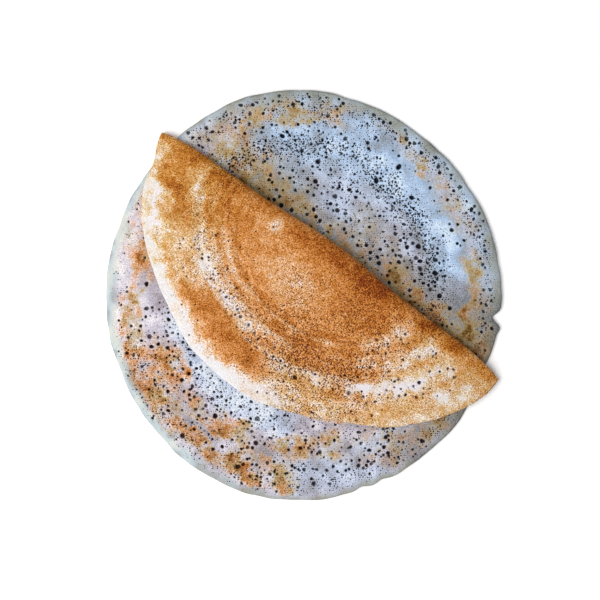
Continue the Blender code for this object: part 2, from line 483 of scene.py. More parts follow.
class Side:
    """One side of a flat bread: its points, their triangles, and what its pores make of them."""

    def __init__(self, rng, board, pores, shares, rim, spacing, is_fine):
        angles = np.arange(RIM_POINTS) * 2.0 * math.pi / RIM_POINTS - math.pi
        blocks = []
        for size, step in RIM_RINGS:
            blocks.append(np.stack(rim(angles[::step] + (1.0 - size) * 0.5), axis=1) * size)
        for pore in pores:
            blocks.append(np.array(pore.points(rng)))
        for gap, fine in ((spacing, True), (COARSE_SPACING, False)):
            u, v = lattice_points(rng, gap, shares, LATTICE_EDGE)
            kept = board.free_points(u, v) & (is_fine(u, v) == fine)
            blocks.append(np.stack([u[kept], v[kept]], axis=1))
        self.u, self.v = np.concatenate(blocks).T
        self.sink, self.dark, self.pale = pore_hollows(self.u, self.v, pores)
        self.triangles = self.triangulate()

    def triangulate(self):
        places = [Vector(place) for place in zip(self.u.tolist(), self.v.tolist())]
        rim = [list(range(RIM_POINTS))]
        keep_inside, least_gap = 1, 1e-5
        found = delaunay_2d_cdt(places, [], rim, keep_inside, least_gap, True)
        origin = np.array([origins[0] for origins in found[3]])
        triangles = origin[np.array(found[2])]
        # Between three points of the rim, one that turns clockwise would fill a dent from outside.
        first, second, third = np.sort(triangles, axis=1).T
        cross = (self.u[second] - self.u[first]) * (self.v[third] - self.v[first])
        cross -= (self.v[second] - self.v[first]) * (self.u[third] - self.u[first])
        return triangles[(third >= RIM_POINTS) | (cross > 0.0)]


def make_bread(name, lay, shares, upper, lower, shown, looks, materials):
    """A closed bread between an upper and a lower side. shown is the one that looks are for."""
    first = len(upper.u)
    high = np.arange(RIM_POINTS)
    low = high + first
    next_high, next_low = np.roll(high, -1), np.roll(low, -1)
    faces = (
        upper.triangles,
        lower.triangles[:, ::-1] + first,
        np.stack([low, next_low, next_high], axis=1),
        np.stack([low, next_high, high], axis=1),
    )
    is_upper = np.repeat((True, False), (len(upper.u), len(lower.u)))
    is_shown = is_upper == (shown is upper)
    u, v, sink, dark, pale = (
        np.concatenate([getattr(upper, what), getattr(lower, what)])
        for what in ("u", "v", "sink", "dark", "pale")
    )

    share, angle = shares(u, v)
    middle, normal = with_normals(lay, u, v)
    marks = looks(u, v, share, angle)
    # Round a large pore the batter browns less, except where it is golden, and is paler.
    marks["toast"] = marks["toast"] * (1.0 - 0.7 * pale * (1.0 - 0.7 * marks["golden"]))
    marks["tone"] = np.minimum(1.0, marks["tone"] + 0.18 * pale)
    swell = np.where(is_shown, marks.pop("swell"), 0.0)
    # The rim's edge is rounded, and no pore reaches the far side.
    rounding = np.clip((1.0 - share) / 0.03, 0.0, 1.0) ** 0.5
    half = thickness_at(np.minimum(share, 1.0)) / 2.0 * (0.35 + 0.65 * rounding)
    away = np.where(is_upper, 1.0, -1.0) * np.maximum(half + swell * rounding - sink, -0.6 * half)
    places = (middle + normal * away[:, None]) * MM

    mesh = bpy.data.meshes.new(name)
    mesh.from_pydata(places.tolist(), [], np.concatenate(faces).tolist())
    mesh.shade_smooth()
    for material in materials:
        mesh.materials.append(material)
    face_counts = (len(faces[0]), len(faces[1]), 2 * RIM_POINTS)
    of_shown = np.repeat((shown is upper, shown is not upper, True), face_counts)
    mesh.polygons.foreach_set("material_index", np.where(of_shown, 0, 1).astype(np.int32))
    marks["pit"] = dark
    for mark, values in marks.items():
        layer = mesh.attributes.new(mark, "FLOAT", "POINT")
        layer.data.foreach_set("value", np.asarray(values, np.float32))
    add_bake_map(mesh, u, v, of_shown)
    mesh.validate()
    bread = bpy.data.objects.new(name, mesh)
    bpy.context.scene.collection.objects.link(bread)
    return bread


def add_bake_map(mesh, u, v, of_shown):
    """A map that lays the two sides of the flat bread out as two discs, corner to corner."""
    corner = np.zeros(len(mesh.loops), np.int32)
    mesh.loops.foreach_get("vertex_index", corner)
    middle = np.where(np.repeat(of_shown, 3), SHOWN_DISC, HIDDEN_DISC)
    scale = MAP_DISC / MAP_REACH
    places = np.stack([middle + u[corner] * scale, middle + v[corner] * scale], axis=1)
    layer = mesh.uv_layers.new(name="OFBake")
    layer.uv.foreach_set("vector", places.astype(np.float32).ravel())


# ---------------------------------------------------------------- materials

# The meshes carry marks that tell the materials what a bread is like at each point, mostly 0 to 1:
# tone     how light the crumb is        damp  how blue: wet, and painted sky-lit shade
# toast    how tanned or browned         golden   its brown's hue, from rosy to olive or gold
# crisp    how much of a dry clear rim   moist    how lilac is crumb that the iron missed
# pin      how open the pinholes are     pit      how deep in a pore, and so how dark its painted shade
# lined    how clear the ladle's lines   ring, turn   place along the flap: its ring, and radians


def linear(hex_colour):
    """An sRGB hex colour as linear RGBA."""
    channels = [int(hex_colour[i : i + 2], 16) / 255.0 for i in (1, 3, 5)]
    return (*[c / 12.92 if c <= 0.04045 else ((c + 0.055) / 1.055) ** 2.4 for c in channels], 1.0)


def add_node(material, kind, *inputs, give=None, stops=(), **settings):
    """Adds a node to a material, and returns its output named give, or the first that it offers.

    inputs fill its sockets in order. settings are its own properties, which come first because
    they decide what sockets it has, and then its sockets by name.
    stops are a colour ramp's places and hex colours, its two ends first.
    """
    node = material.node_tree.nodes.new("ShaderNode" + kind)
    sockets = []
    for key, value in settings.items():
        if hasattr(node, key):
            setattr(node, key, value)
        else:
            offered = [socket for socket in node.inputs if socket.enabled]
            named = [socket for socket in offered if socket.name == key.replace("_", " ")]
            sockets.append((named[0], value))
    for socket, value in [*zip(node.inputs, inputs), *sockets]:
        if isinstance(value, bpy.types.NodeSocket):
            material.node_tree.links.new(value, socket)
        else:
            socket.default_value = value
    for index, (position, hex_colour) in enumerate(stops):
        elements = node.color_ramp.elements
        element = elements[index] if index < 2 else elements.new(position)
        element.position, element.color = position, linear(hex_colour)
    offered = [socket for socket in node.outputs if socket.enabled]
    return node.outputs[give] if give else offered[0] if offered else None


def new_material(name):
    material = bpy.data.materials.new(name)
    material.use_nodes = True
    material.node_tree.nodes.clear()
    return material


def inside_pinholes(material, pin, spacing, width_range):
    """How far inside a tiny hole a place is, in spacings: below 0 it is outside.

    The holes lie about spacing mm apart. pin opens them, from the first of width_range to the second.
    """
    flat = add_node(material, "UVMap", uv_map="OFBake")
    cells = {"voronoi_dimensions": "2D", "Vector": flat, "Scale": MAP_REACH / MAP_DISC / spacing}
    middle = add_node(material, "TexVoronoi", give="Distance", **cells)
    chance = add_node(material, "TexVoronoi", give="Color", **cells)
    size = add_node(material, "MapRange", chance, 0.15, 0.85, -0.32, 0.10)
    opened = add_node(material, "MapRange", pin, 0.0, 1.0, *width_range)
    width = add_node(material, "Math", size, opened, operation="ADD")
    return add_node(material, "Math", width, middle, operation="SUBTRACT")


def two_browns(material, baked, golden, hue, rosy_stops, golden_stops):
    """A brown for how far the batter is baked, from rosy to golden by golden and an uneven hue."""
    rosy = add_node(material, "ValToRGB", baked, stops=rosy_stops)
    gold = add_node(material, "ValToRGB", baked, stops=golden_stops)
    golden_share = add_node(material, "Math", golden, hue, operation="ADD", use_clamp=True)
    return add_node(material, "Mix", data_type="RGBA", Factor=golden_share, A=rosy, B=gold)


def finish_as_starch(material, colour, rough, relief, height):
    """Ends a material as cooked rice starch: matt, with a relief of height mm too fine for the mesh."""
    bump = add_node(material, "Bump", Strength=BUMP_STRENGTH, Distance=height * MM, Height=relief)
    matt = {"IOR": STARCH_IOR, "Specular_IOR_Level": STARCH_GLOSS}
    shade = add_node(
        material, "BsdfPrincipled", Base_Color=colour, Roughness=rough, Normal=bump, **matt
    )
    add_node(material, "OutputMaterial", shade)


def steam_set_rice_crumb():
    """Fermented rice batter set by its own steam: matt, pale, full of pinholes, tanned where thin."""
    crumb = new_material("steam_set_rice_crumb")
    tone, damp, toast, golden, crisp, pin, pit = (
        add_node(crumb, "Attribute", attribute_name=mark, give="Fac")
        for mark in ("tone", "damp", "toast", "golden", "crisp", "pin", "pit")
    )
    place = add_node(crumb, "TexCoord", give="Object")
    cloud = add_node(
        crumb, "TexNoise", Vector=place, Scale=1.0 / (CLOUD_SIZE * MM), Detail=3.0, Roughness=0.5
    )
    film = add_node(
        crumb, "TexNoise", Vector=place, Scale=1.0 / (FILM_SIZE * MM), Detail=3.0, Roughness=0.6
    )
    grit = add_node(
        crumb, "TexNoise", Vector=place, Scale=1.0 / (GRIT_SIZE * MM), Detail=2.0, Roughness=0.7
    )

    # Thick crumb is white, and thin crumb grey. Wet, and where it is painted as shade lit by a blue
    # sky, it looks blue, and drier it looks lilac and cream.
    uneven = add_node(crumb, "MapRange", cloud, 0.30, 0.70, -0.20, 0.20)
    bright = add_node(crumb, "Math", tone, uneven, operation="ADD")
    blue_stops = (
        (0.10, "#68737a"), (0.95, "#c9ddf1"), (0.34, "#8896a6"), (0.50, "#96acc5"),
        (0.70, "#a8c3e2"),
    )
    dry_stops = (
        (0.10, "#7e767a"), (0.95, "#e3dddd"), (0.34, "#a29aa3"), (0.50, "#b8b2c0"),
        (0.70, "#cdc8d3"),
    )
    blue = add_node(crumb, "ValToRGB", bright, stops=blue_stops)
    lilac = add_node(crumb, "ValToRGB", bright, stops=dry_stops)
    pale = add_node(crumb, "Mix", data_type="RGBA", Factor=damp, A=lilac, B=blue)

    # The thin crumb takes a tan from the griddle, uneven where bubbles' walls are thick.
    blotch = add_node(crumb, "MapRange", film, 0.34, 0.66, 0.50, 1.50)
    thin = add_node(crumb, "Math", toast, blotch, operation="MULTIPLY")
    grain = add_node(crumb, "MapRange", grit, 0.30, 0.70, 0.30, -0.30)
    strength = add_node(crumb, "MapRange", golden, 0.30, 1.0, 1.0, 0.40)
    baked = add_node(crumb, "Math", grain, strength, thin, operation="MULTIPLY_ADD")
    rosy_stops = (
        (0.0, "#e1d1cd"), (1.0, "#86470d"), (0.22, "#dbb7a0"), (0.46, "#cf996d"),
        (0.75, "#b7712f"),
    )
    olive_stops = (
        (0.0, "#b5b4a7"), (1.0, "#6a4b0d"), (0.24, "#b1a68a"), (0.48, "#a9956a"),
        (0.75, "#927138"),
    )
    hue = add_node(crumb, "MapRange", cloud, 0.38, 0.62, -0.50, 0.50)
    tan = two_browns(crumb, baked, golden, hue, rosy_stops, olive_stops)
    deep = add_node(crumb, "MapRange", bright, 0.10, 0.55, 0.68, 1.0)
    times = {"data_type": "RGBA", "blend_type": "MULTIPLY", "Factor": 1.0}
    shaded = add_node(crumb, "Mix", **times, A=tan, B=deep)
    share = add_node(crumb, "MapRange", thin, -0.04, 0.44, 0.0, 1.0, interpolation_type="SMOOTHSTEP")
    tanned = add_node(crumb, "Mix", data_type="RGBA", Factor=share, A=pale, B=shaded)
    # The crisp rim lets light through: olive where it is dark, blue-green where it is pale.
    crisp_stops = (
        (0.10, "#65665d"), (0.95, "#c7cec7"), (0.40, "#8f9281"), (0.62, "#9ba3a4"),
        (0.80, "#afc2c7"),
    )
    edge = add_node(crumb, "ValToRGB", tone, stops=crisp_stops)
    edged = add_node(crumb, "Mix", data_type="RGBA", Factor=crisp, A=tanned, B=edge)

    # Light and dark grains of ground rice, which the crisp rim hardly shows.
    speckle = add_node(crumb, "MapRange", grit, 0.30, 0.70, 0.66, 1.34)
    smoother = add_node(crumb, "Mix", data_type="RGBA", Factor=crisp, A=speckle, B=WHITE)
    grainy = add_node(crumb, "Mix", **times, A=edged, B=smoother)

    # Pinholes of 0.2 to 0.6 mm, drawn up to twice as wide so that they show, each with a pale lip.
    inward = inside_pinholes(crumb, pin, PINHOLE_SPACING, (-0.06, 0.42))
    lip = add_node(crumb, "MapRange", inward, -0.36, -0.06, 0.0, 0.30)
    pale_lip, tan_lip = linear("#e2e8f2"), linear("#d2ac88")
    lip_tone = add_node(crumb, "Mix", data_type="RGBA", Factor=share, A=pale_lip, B=tan_lip)
    lipped = add_node(crumb, "Mix", data_type="RGBA", Factor=lip, A=grainy, B=lip_tone)
    # Painted shade, and partly the browned underside seen through: the holes are dark.
    hole = add_node(crumb, "MapRange", inward, -0.04, 0.06, 0.0, 0.96)
    blue_hole, burnt_hole = linear("#0c1d30"), linear("#3a1806")
    hole_tone = add_node(crumb, "Mix", data_type="RGBA", Factor=share, A=blue_hole, B=burnt_hole)
    pinned = add_node(crumb, "Mix", data_type="RGBA", Factor=hole, A=lipped, B=hole_tone)

    # Painted shade, and partly the browned underside seen through: the pores' insides are nearly black,
    # bluer where the crumb is blue.
    inside = add_node(crumb, "MapRange", pit, 0.08, 0.85, 0.0, 1.0)
    dry_bottom, blue_bottom = linear("#260f0a"), linear("#07131c")
    bottom = add_node(crumb, "Mix", data_type="RGBA", Factor=damp, A=dry_bottom, B=blue_bottom)
    colour = add_node(crumb, "Mix", data_type="RGBA", Factor=inside, A=pinned, B=bottom)

    coarse = add_node(crumb, "Math", grit, 0.5, operation="MULTIPLY")
    relief = add_node(crumb, "Math", coarse, film, operation="ADD")
    rough = add_node(crumb, "MapRange", film, 0.3, 0.7, 0.46, 0.66)
    finish_as_starch(crumb, colour, rough, relief, 0.5)
    return crumb


def griddle_browned_rice_crust():
    """Rice batter fried on an oiled iron griddle: a thin dry crust, freckled where it touched it."""
    crust = new_material("griddle_browned_rice_crust")
    toast, golden, lined, moist, ring, turn, pin, pit = (
        add_node(crust, "Attribute", attribute_name=mark, give="Fac")
        for mark in ("toast", "golden", "lined", "moist", "ring", "turn", "pin", "pit")
    )
    place = add_node(crust, "TexCoord", give="Object")
    cloud = add_node(crust, "TexNoise", Vector=place, Scale=1.0 / (CLOUD_SIZE * MM), Detail=3.0)
    patchy = add_node(
        crust, "TexNoise", Vector=place, Scale=1.0 / (PATCH_SIZE * MM), Detail=3.0, Roughness=0.6
    )
    freckle = add_node(
        crust, "TexNoise", Vector=place, Scale=1.0 / (FRECKLE_SIZE * MM), Detail=1.0, Roughness=0.6
    )

    # The ladle's last turns left lines about 2 mm apart that run round the bread.
    across = add_node(crust, "Math", ring, FLAP_RING[1] / LADLE_LINE, operation="MULTIPLY")
    along = add_node(crust, "Math", turn, FLAP_RING[1] / LADLE_RUN, operation="MULTIPLY")
    round_the_bread = add_node(crust, "CombineXYZ", across, along, 0.0)
    line = add_node(crust, "TexNoise", Vector=round_the_bread, Scale=1.0, Detail=2.0, Roughness=0.5)
    thick = add_node(crust, "MapRange", line, 0.30, 0.70, -0.5, 0.5)
    lines = add_node(crust, "Math", thick, lined, operation="MULTIPLY")

    # The crust browns unevenly, and not at all where the batter didn't touch the iron.
    fine = add_node(crust, "MapRange", freckle, 0.28, 0.72, -0.23, 0.23)
    mid = add_node(crust, "MapRange", patchy, 0.35, 0.65, -0.08, 0.08)
    broad = add_node(crust, "MapRange", cloud, 0.35, 0.65, -0.04, 0.04)
    uneven = add_node(crust, "Math", mid, broad, operation="ADD")
    grain = add_node(crust, "Math", fine, uneven, operation="ADD")
    touched = add_node(crust, "MapRange", toast, 0.03, 0.22, 0.0, 1.0)
    lined_grain = add_node(crust, "Math", lines, 0.27, grain, operation="MULTIPLY_ADD")
    kept = add_node(crust, "Math", lined_grain, touched, operation="MULTIPLY")
    baked = add_node(crust, "Math", toast, kept, operation="ADD")
    rosy_stops = (
        (0.0, "#d9dcde"), (1.0, "#69260d"), (0.05, "#dedad5"), (0.15, "#dcc6b0"),
        (0.28, "#d5ac86"), (0.50, "#c98a4e"), (0.70, "#b26a23"), (0.86, "#94490d"),
    )
    golden_stops = (
        (0.0, "#d7d6cf"), (1.0, "#692f0d"), (0.05, "#d9d0be"), (0.15, "#d3bf9a"),
        (0.28, "#cbaa77"), (0.50, "#bd8b49"), (0.70, "#ac6c18"), (0.86, "#94500d"),
    )
    hue = add_node(crust, "MapRange", patchy, 0.36, 0.64, -0.35, 0.35)
    browned = two_browns(crust, baked, golden, hue, rosy_stops, golden_stops)
    # Away from the dry edge, crumb that the iron missed is lilac rather than cream.
    missed = add_node(
        crust, "MapRange", baked, 0.02, 0.20, 1.0, 0.0, interpolation_type="SMOOTHSTEP"
    )
    lilac = add_node(crust, "Math", missed, moist, operation="MULTIPLY")
    softened = add_node(crust, "Mix", data_type="RGBA", Factor=lilac, A=browned, B=linear("#d7d0d7"))

    # Specks of crust, fainter where the iron missed it.
    speckle = add_node(crust, "MapRange", freckle, 0.30, 0.70, 1.26, 0.80)
    some = add_node(crust, "MapRange", touched, 0.0, 1.0, 0.75, 1.0)
    smoother = add_node(crust, "Mix", data_type="RGBA", Factor=some, A=WHITE, B=speckle)
    times = {"data_type": "RGBA", "blend_type": "MULTIPLY", "Factor": 1.0}
    grainy = add_node(crust, "Mix", **times, A=softened, B=smoother)

    # Freckles burnt where steam broke through, about 0.3 mm wide, drawn up to three times as wide
    # so that they show.
    inward = inside_pinholes(crust, pin, BURN_SPACING, (0.0, 0.46))
    dot = add_node(crust, "MapRange", inward, -0.04, 0.06, 0.0, 0.90)
    freckled = add_node(crust, "Math", dot, touched, operation="MULTIPLY")
    pinned = add_node(crust, "Mix", data_type="RGBA", Factor=freckled, A=grainy, B=linear("#521a00"))

    # Painted shade, and partly real browning: a pore's wall is brown, and its bottom nearly black.
    inside = add_node(crust, "MapRange", pit, 0.10, 0.95, 0.0, 1.0)
    deep = add_node(crust, "MapRange", pit, 0.45, 1.0, 0.0, 1.0)
    wall, bottom = linear("#5a2404"), linear("#1a0a02")
    burnt = add_node(crust, "Mix", data_type="RGBA", Factor=deep, A=wall, B=bottom)
    colour = add_node(crust, "Mix", data_type="RGBA", Factor=inside, A=pinned, B=burnt)

    coarse = add_node(crust, "Math", freckle, 0.7, operation="MULTIPLY")
    rough_skin = add_node(crust, "Math", coarse, patchy, operation="ADD")
    relief = add_node(crust, "Math", lines, 1.2, rough_skin, operation="MULTIPLY_ADD")
    rough = add_node(crust, "MapRange", patchy, 0.3, 0.7, 0.45, 0.62)
    finish_as_starch(crust, colour, rough, relief, 0.35)
    return crust


# ---------------------------------------------------------------- the open dosa

# The open dosa's large pores: right of its middle, up from it, and their radius, in millimetres.
OPEN_LARGE_PORES = (
    (50.7, 68.1, 1.5), (38.9, 61.0, 1.5), (7.1, 60.6, 1.3), (18.6, 45.4, 1.3), (17.4, 52.7, 1.3),
    (57.5, 52.0, 1.3), (61.0, 26.5, 1.4), (69.8, 19.4, 1.3), (69.7, 12.5, 1.4), (72.1, 0.6, 1.3),
    (61.9, 14.8, 1.2), (54.8, 82.8, 1.3), (-10.3, 84.2, 1.3), (22.7, 82.8, 1.2),
    (-33.6, -88.9, 1.4), (-23.3, -63.8, 1.4), (-79.8, -20.7, 1.3), (-62.6, -72.7, 1.4),
    (-45.4, -62.3, 1.4), (-24.1, -76.5, 1.3), (56.1, -87.1, 1.4), (63.0, -75.5, 1.3),
    (6.2, -97.7, 1.2), (59.0, 80.5, 1.1), (62.6, 75.5, 1.1), (71.5, 68.3, 1.2), (82.9, 57.6, 1.2),
    (88.8, 45.8, 1.2), (79.5, 55.6, 0.9), (67.2, 57.2, 0.9), (53.4, 38.1, 1.0), (0.0, 76.6, 1.1),
    (8.4, 70.9, 1.4), (-17.3, 61.4, 0.9), (-29.9, 85.6, 0.8), (77.4, -6.0, 1.1),
    (73.4, -14.7, 0.8), (75.9, -15.4, 0.7), (67.7, -6.8, 0.8), (95.0, -7.5, 0.8),
    (-81.4, 6.8, 1.2), (-81.4, -6.0, 1.2), (-84.5, -15.2, 0.9),
)

# Its smaller pores, along rings: share of the radius, spread, two end angles in degrees, how many to
# try, and their smallest and largest radius in millimetres.
OPEN_PORES = (
    (0.86, 0.06, 255, 306, 50, 0.75, 1.30),
    (0.955, 0.012, 10, 120, 34, 0.60, 1.10),
    (0.52, 0.07, 15, 110, 70, 0.48, 1.20),
    (0.60, 0.05, -12, 32, 85, 0.50, 1.20),
    (0.60, 0.05, 30, 112, 90, 0.42, 1.10),
    (0.69, 0.026, 6, 60, 330, 0.34, 0.80),
    (0.74, 0.026, 50, 120, 330, 0.34, 0.80),
    (0.76, 0.04, 50, 112, 60, 0.38, 1.1),
    (0.84, 0.04, 15, 125, 60, 0.36, 0.9),
    (0.94, 0.03, -20, 125, 240, 0.38, 1.10),
    (0.63, 0.05, 180, 295, 300, 0.34, 0.90),
    (0.74, 0.06, 184, 250, 190, 0.36, 1.10),
    (0.74, 0.06, 250, 315, 110, 0.40, 1.10),
    (0.87, 0.05, 188, 262, 175, 0.34, 1.05),
    (0.87, 0.05, 262, 325, 80, 0.34, 0.90),
    (0.87, 0.05, 152, 188, 14, 0.34, 0.80),
    (0.94, 0.02, 150, 330, 70, 0.34, 0.7),
    (0.35, 0.18, 0, 360, 260, 0.5, 1.3),
)

# How light its crumb is: share of the radius, half width, two end angles, how light, how fully.
OPEN_TONES = (
    # Partly painted shade, the fold's broad soft shadow, and partly the crumb's own grey: the inner
    # upper right is darker.
    (0.50, 0.10, 12, 62, 0.40, 0.85),
    (0.50, 0.10, 60, 95, 0.54, 0.85),
    (0.54, 0.12, -20, 24, 0.18, 0.85),
    (0.50, 0.12, 84, 118, 0.30, 0.80),
    (0.585, 0.030, 20, 85, 0.58, 0.80),
    (0.65, 0.026, 5, 58, 0.30, 0.80),
    (0.66, 0.030, 62, 90, 0.62, 0.80),
    (0.705, 0.022, 58, 95, 0.42, 0.70),
    # Partly a painted highlight on the swell, partly the crumb's own pale, smooth film: a light band in
    # the upper right.
    (0.755, 0.085, 10, 28, 0.68, 0.90),
    (0.745, 0.085, 28, 60, 0.80, 0.90),
    (0.77, 0.065, 55, 86, 0.80, 0.90),
    (0.79, 0.070, 86, 106, 0.50, 0.90),
    (0.91, 0.050, 12, 80, 0.62, 0.85),
    (0.92, 0.060, 80, 112, 0.54, 0.80),
    (0.78, 0.25, -22, 4, 0.16, 0.85),
    (0.90, 0.08, -24, -1, 0.05, 0.85),
    (0.60, 0.10, 175, 262, 0.92, 0.90),
    (0.92, 0.060, 140, 172, 0.82, 0.90),
    (0.90, 0.060, 172, 200, 0.80, 0.85),
    (0.82, 0.090, 216, 266, 0.36, 0.80),
    (0.90, 0.090, 262, 298, 0.54, 0.85),
    # Painted shadow: darker under the folded dosa's right tip.
    (0.93, 0.09, 298, 345, 0.14, 0.90),
    (0.985, 0.030, 140, 205, 0.98, 0.95),
    (0.985, 0.030, 205, 232, 0.92, 0.95),
    (0.985, 0.030, 232, 250, 0.72, 0.95),
    (0.985, 0.030, 250, 297, 0.52, 0.95),
    # Painted shadow: the rim is dark under the folded dosa's right tip.
    (0.985, 0.030, 297, 312, 0.30, 0.95),
    (0.985, 0.030, 312, 358, 0.08, 0.95),
    (0.985, 0.030, -2, 55, 0.44, 0.95),
    (0.985, 0.030, 55, 112, 0.42, 0.95),
    (0.985, 0.030, 112, 135, 0.76, 0.95),
    # Painted light: lighter by the folded dosa's upper left tip, to offset the shadow it casts there.
    (0.90, 0.080, 126, 140, 0.98, 0.95),
)

# Where it is blue, partly wet and partly painted as shade lit by a blue sky, over what the upper right
# has: the same six values.
OPEN_BLUE_SHADE_AND_DAMP = (
    (0.60, 0.09, 180, 266, 0.70, 0.90),
    (0.88, 0.12, 264, 300, 0.62, 0.90),
    (0.88, 0.12, 300, 330, 0.50, 0.90),
    (0.80, 0.06, 222, 240, 0.30, 0.80),
    (0.78, 0.20, -22, 6, 0.62, 0.80),
    (0.53, 0.12, -10, 45, 0.40, 0.85),
    (0.53, 0.12, 45, 92, 0.58, 0.85),
    (0.90, 0.04, 15, 60, 0.50, 0.70),
    # Painted light: less blue by the folded dosa's upper left tip, to offset the shadow it casts there.
    (0.90, 0.10, 105, 138, 0.25, 0.85),
)

# Where it is tanned: the same six values.
OPEN_TANS = (
    (0.90, 0.070, 74, 118, 0.34, 0.90),
    (0.78, 0.080, 104, 135, 0.34, 0.85),
    (0.89, 0.040, 82, 100, 0.42, 0.70),
    (0.91, 0.050, 36, 60, 0.10, 0.80),
    (0.92, 0.028, 57, 62, 0.58, 0.85),
    (0.95, 0.025, 73, 78, 0.50, 0.80),
    (0.880, 0.028, 43, 51, 0.66, 0.85),
    (0.880, 0.055, 22, 39, 0.27, 0.85),
    (0.88, 0.050, 2, 18, 0.42, 0.90),
    (0.93, 0.050, -20, 2, 0.36, 0.80),
    (0.85, 0.028, -17, 0, 0.78, 0.90),
    # Partly painted warm light bounced off the flap, and partly the crumb's own tan: the inner crumb
    # beside the fold.
    (0.60, 0.150, 98, 118, 0.24, 0.85),
    (0.52, 0.090, 84, 106, 0.16, 0.80),
    (0.58, 0.140, -22, -4, 0.50, 0.90),
    (0.52, 0.070, -6, 14, 0.34, 0.80),
    (0.50, 0.080, 14, 60, 0.20, 0.80),
    (0.90, 0.060, 116, 134, 0.18, 0.70),
    (0.92, 0.080, 142, 168, 0.20, 0.90),
    (0.83, 0.045, 158, 180, 0.54, 0.85),
    (0.86, 0.035, 174, 186, 0.66, 0.85),
    (0.90, 0.040, 182, 192, 0.28, 0.85),
    (0.79, 0.060, 196, 212, 0.60, 0.90),
    (0.83, 0.030, 208, 224, 0.34, 0.80),
    (0.70, 0.035, 208, 222, 0.36, 0.80),
    (0.87, 0.035, 190, 222, 0.42, 0.85),
    (0.935, 0.038, 192, 226, 0.60, 0.90),
    (0.71, 0.040, 203, 222, 0.48, 0.85),
    (0.77, 0.035, 206, 236, 0.50, 0.85),
    (0.885, 0.040, 212, 240, 0.58, 0.90),
    (0.70, 0.035, 234, 250, 0.40, 0.85),
    (0.77, 0.035, 236, 252, 0.42, 0.80),
    (0.895, 0.055, 236, 268, 0.60, 0.90),
    (0.83, 0.030, 244, 268, 0.34, 0.80),
    (0.76, 0.035, 232, 248, 0.44, 0.80),
    (0.72, 0.050, 258, 286, 0.38, 0.80),
    (0.76, 0.050, 268, 282, 0.46, 0.80),
    (0.86, 0.050, 288, 298, 0.36, 0.80),
    (0.80, 0.070, 282, 304, 0.22, 0.80),
    (0.925, 0.030, 258, 268, 0.40, 0.80),
    (0.87, 0.040, 296, 308, 0.20, 0.80),
    (0.93, 0.040, 298, 312, 0.30, 0.80),
    # Painted shadow, tinted brown: the crumb under the folded dosa's right tip.
    (0.90, 0.080, 310, 345, 0.42, 0.85),
    (0.86, 0.060, 318, 345, 0.66, 0.90),
)


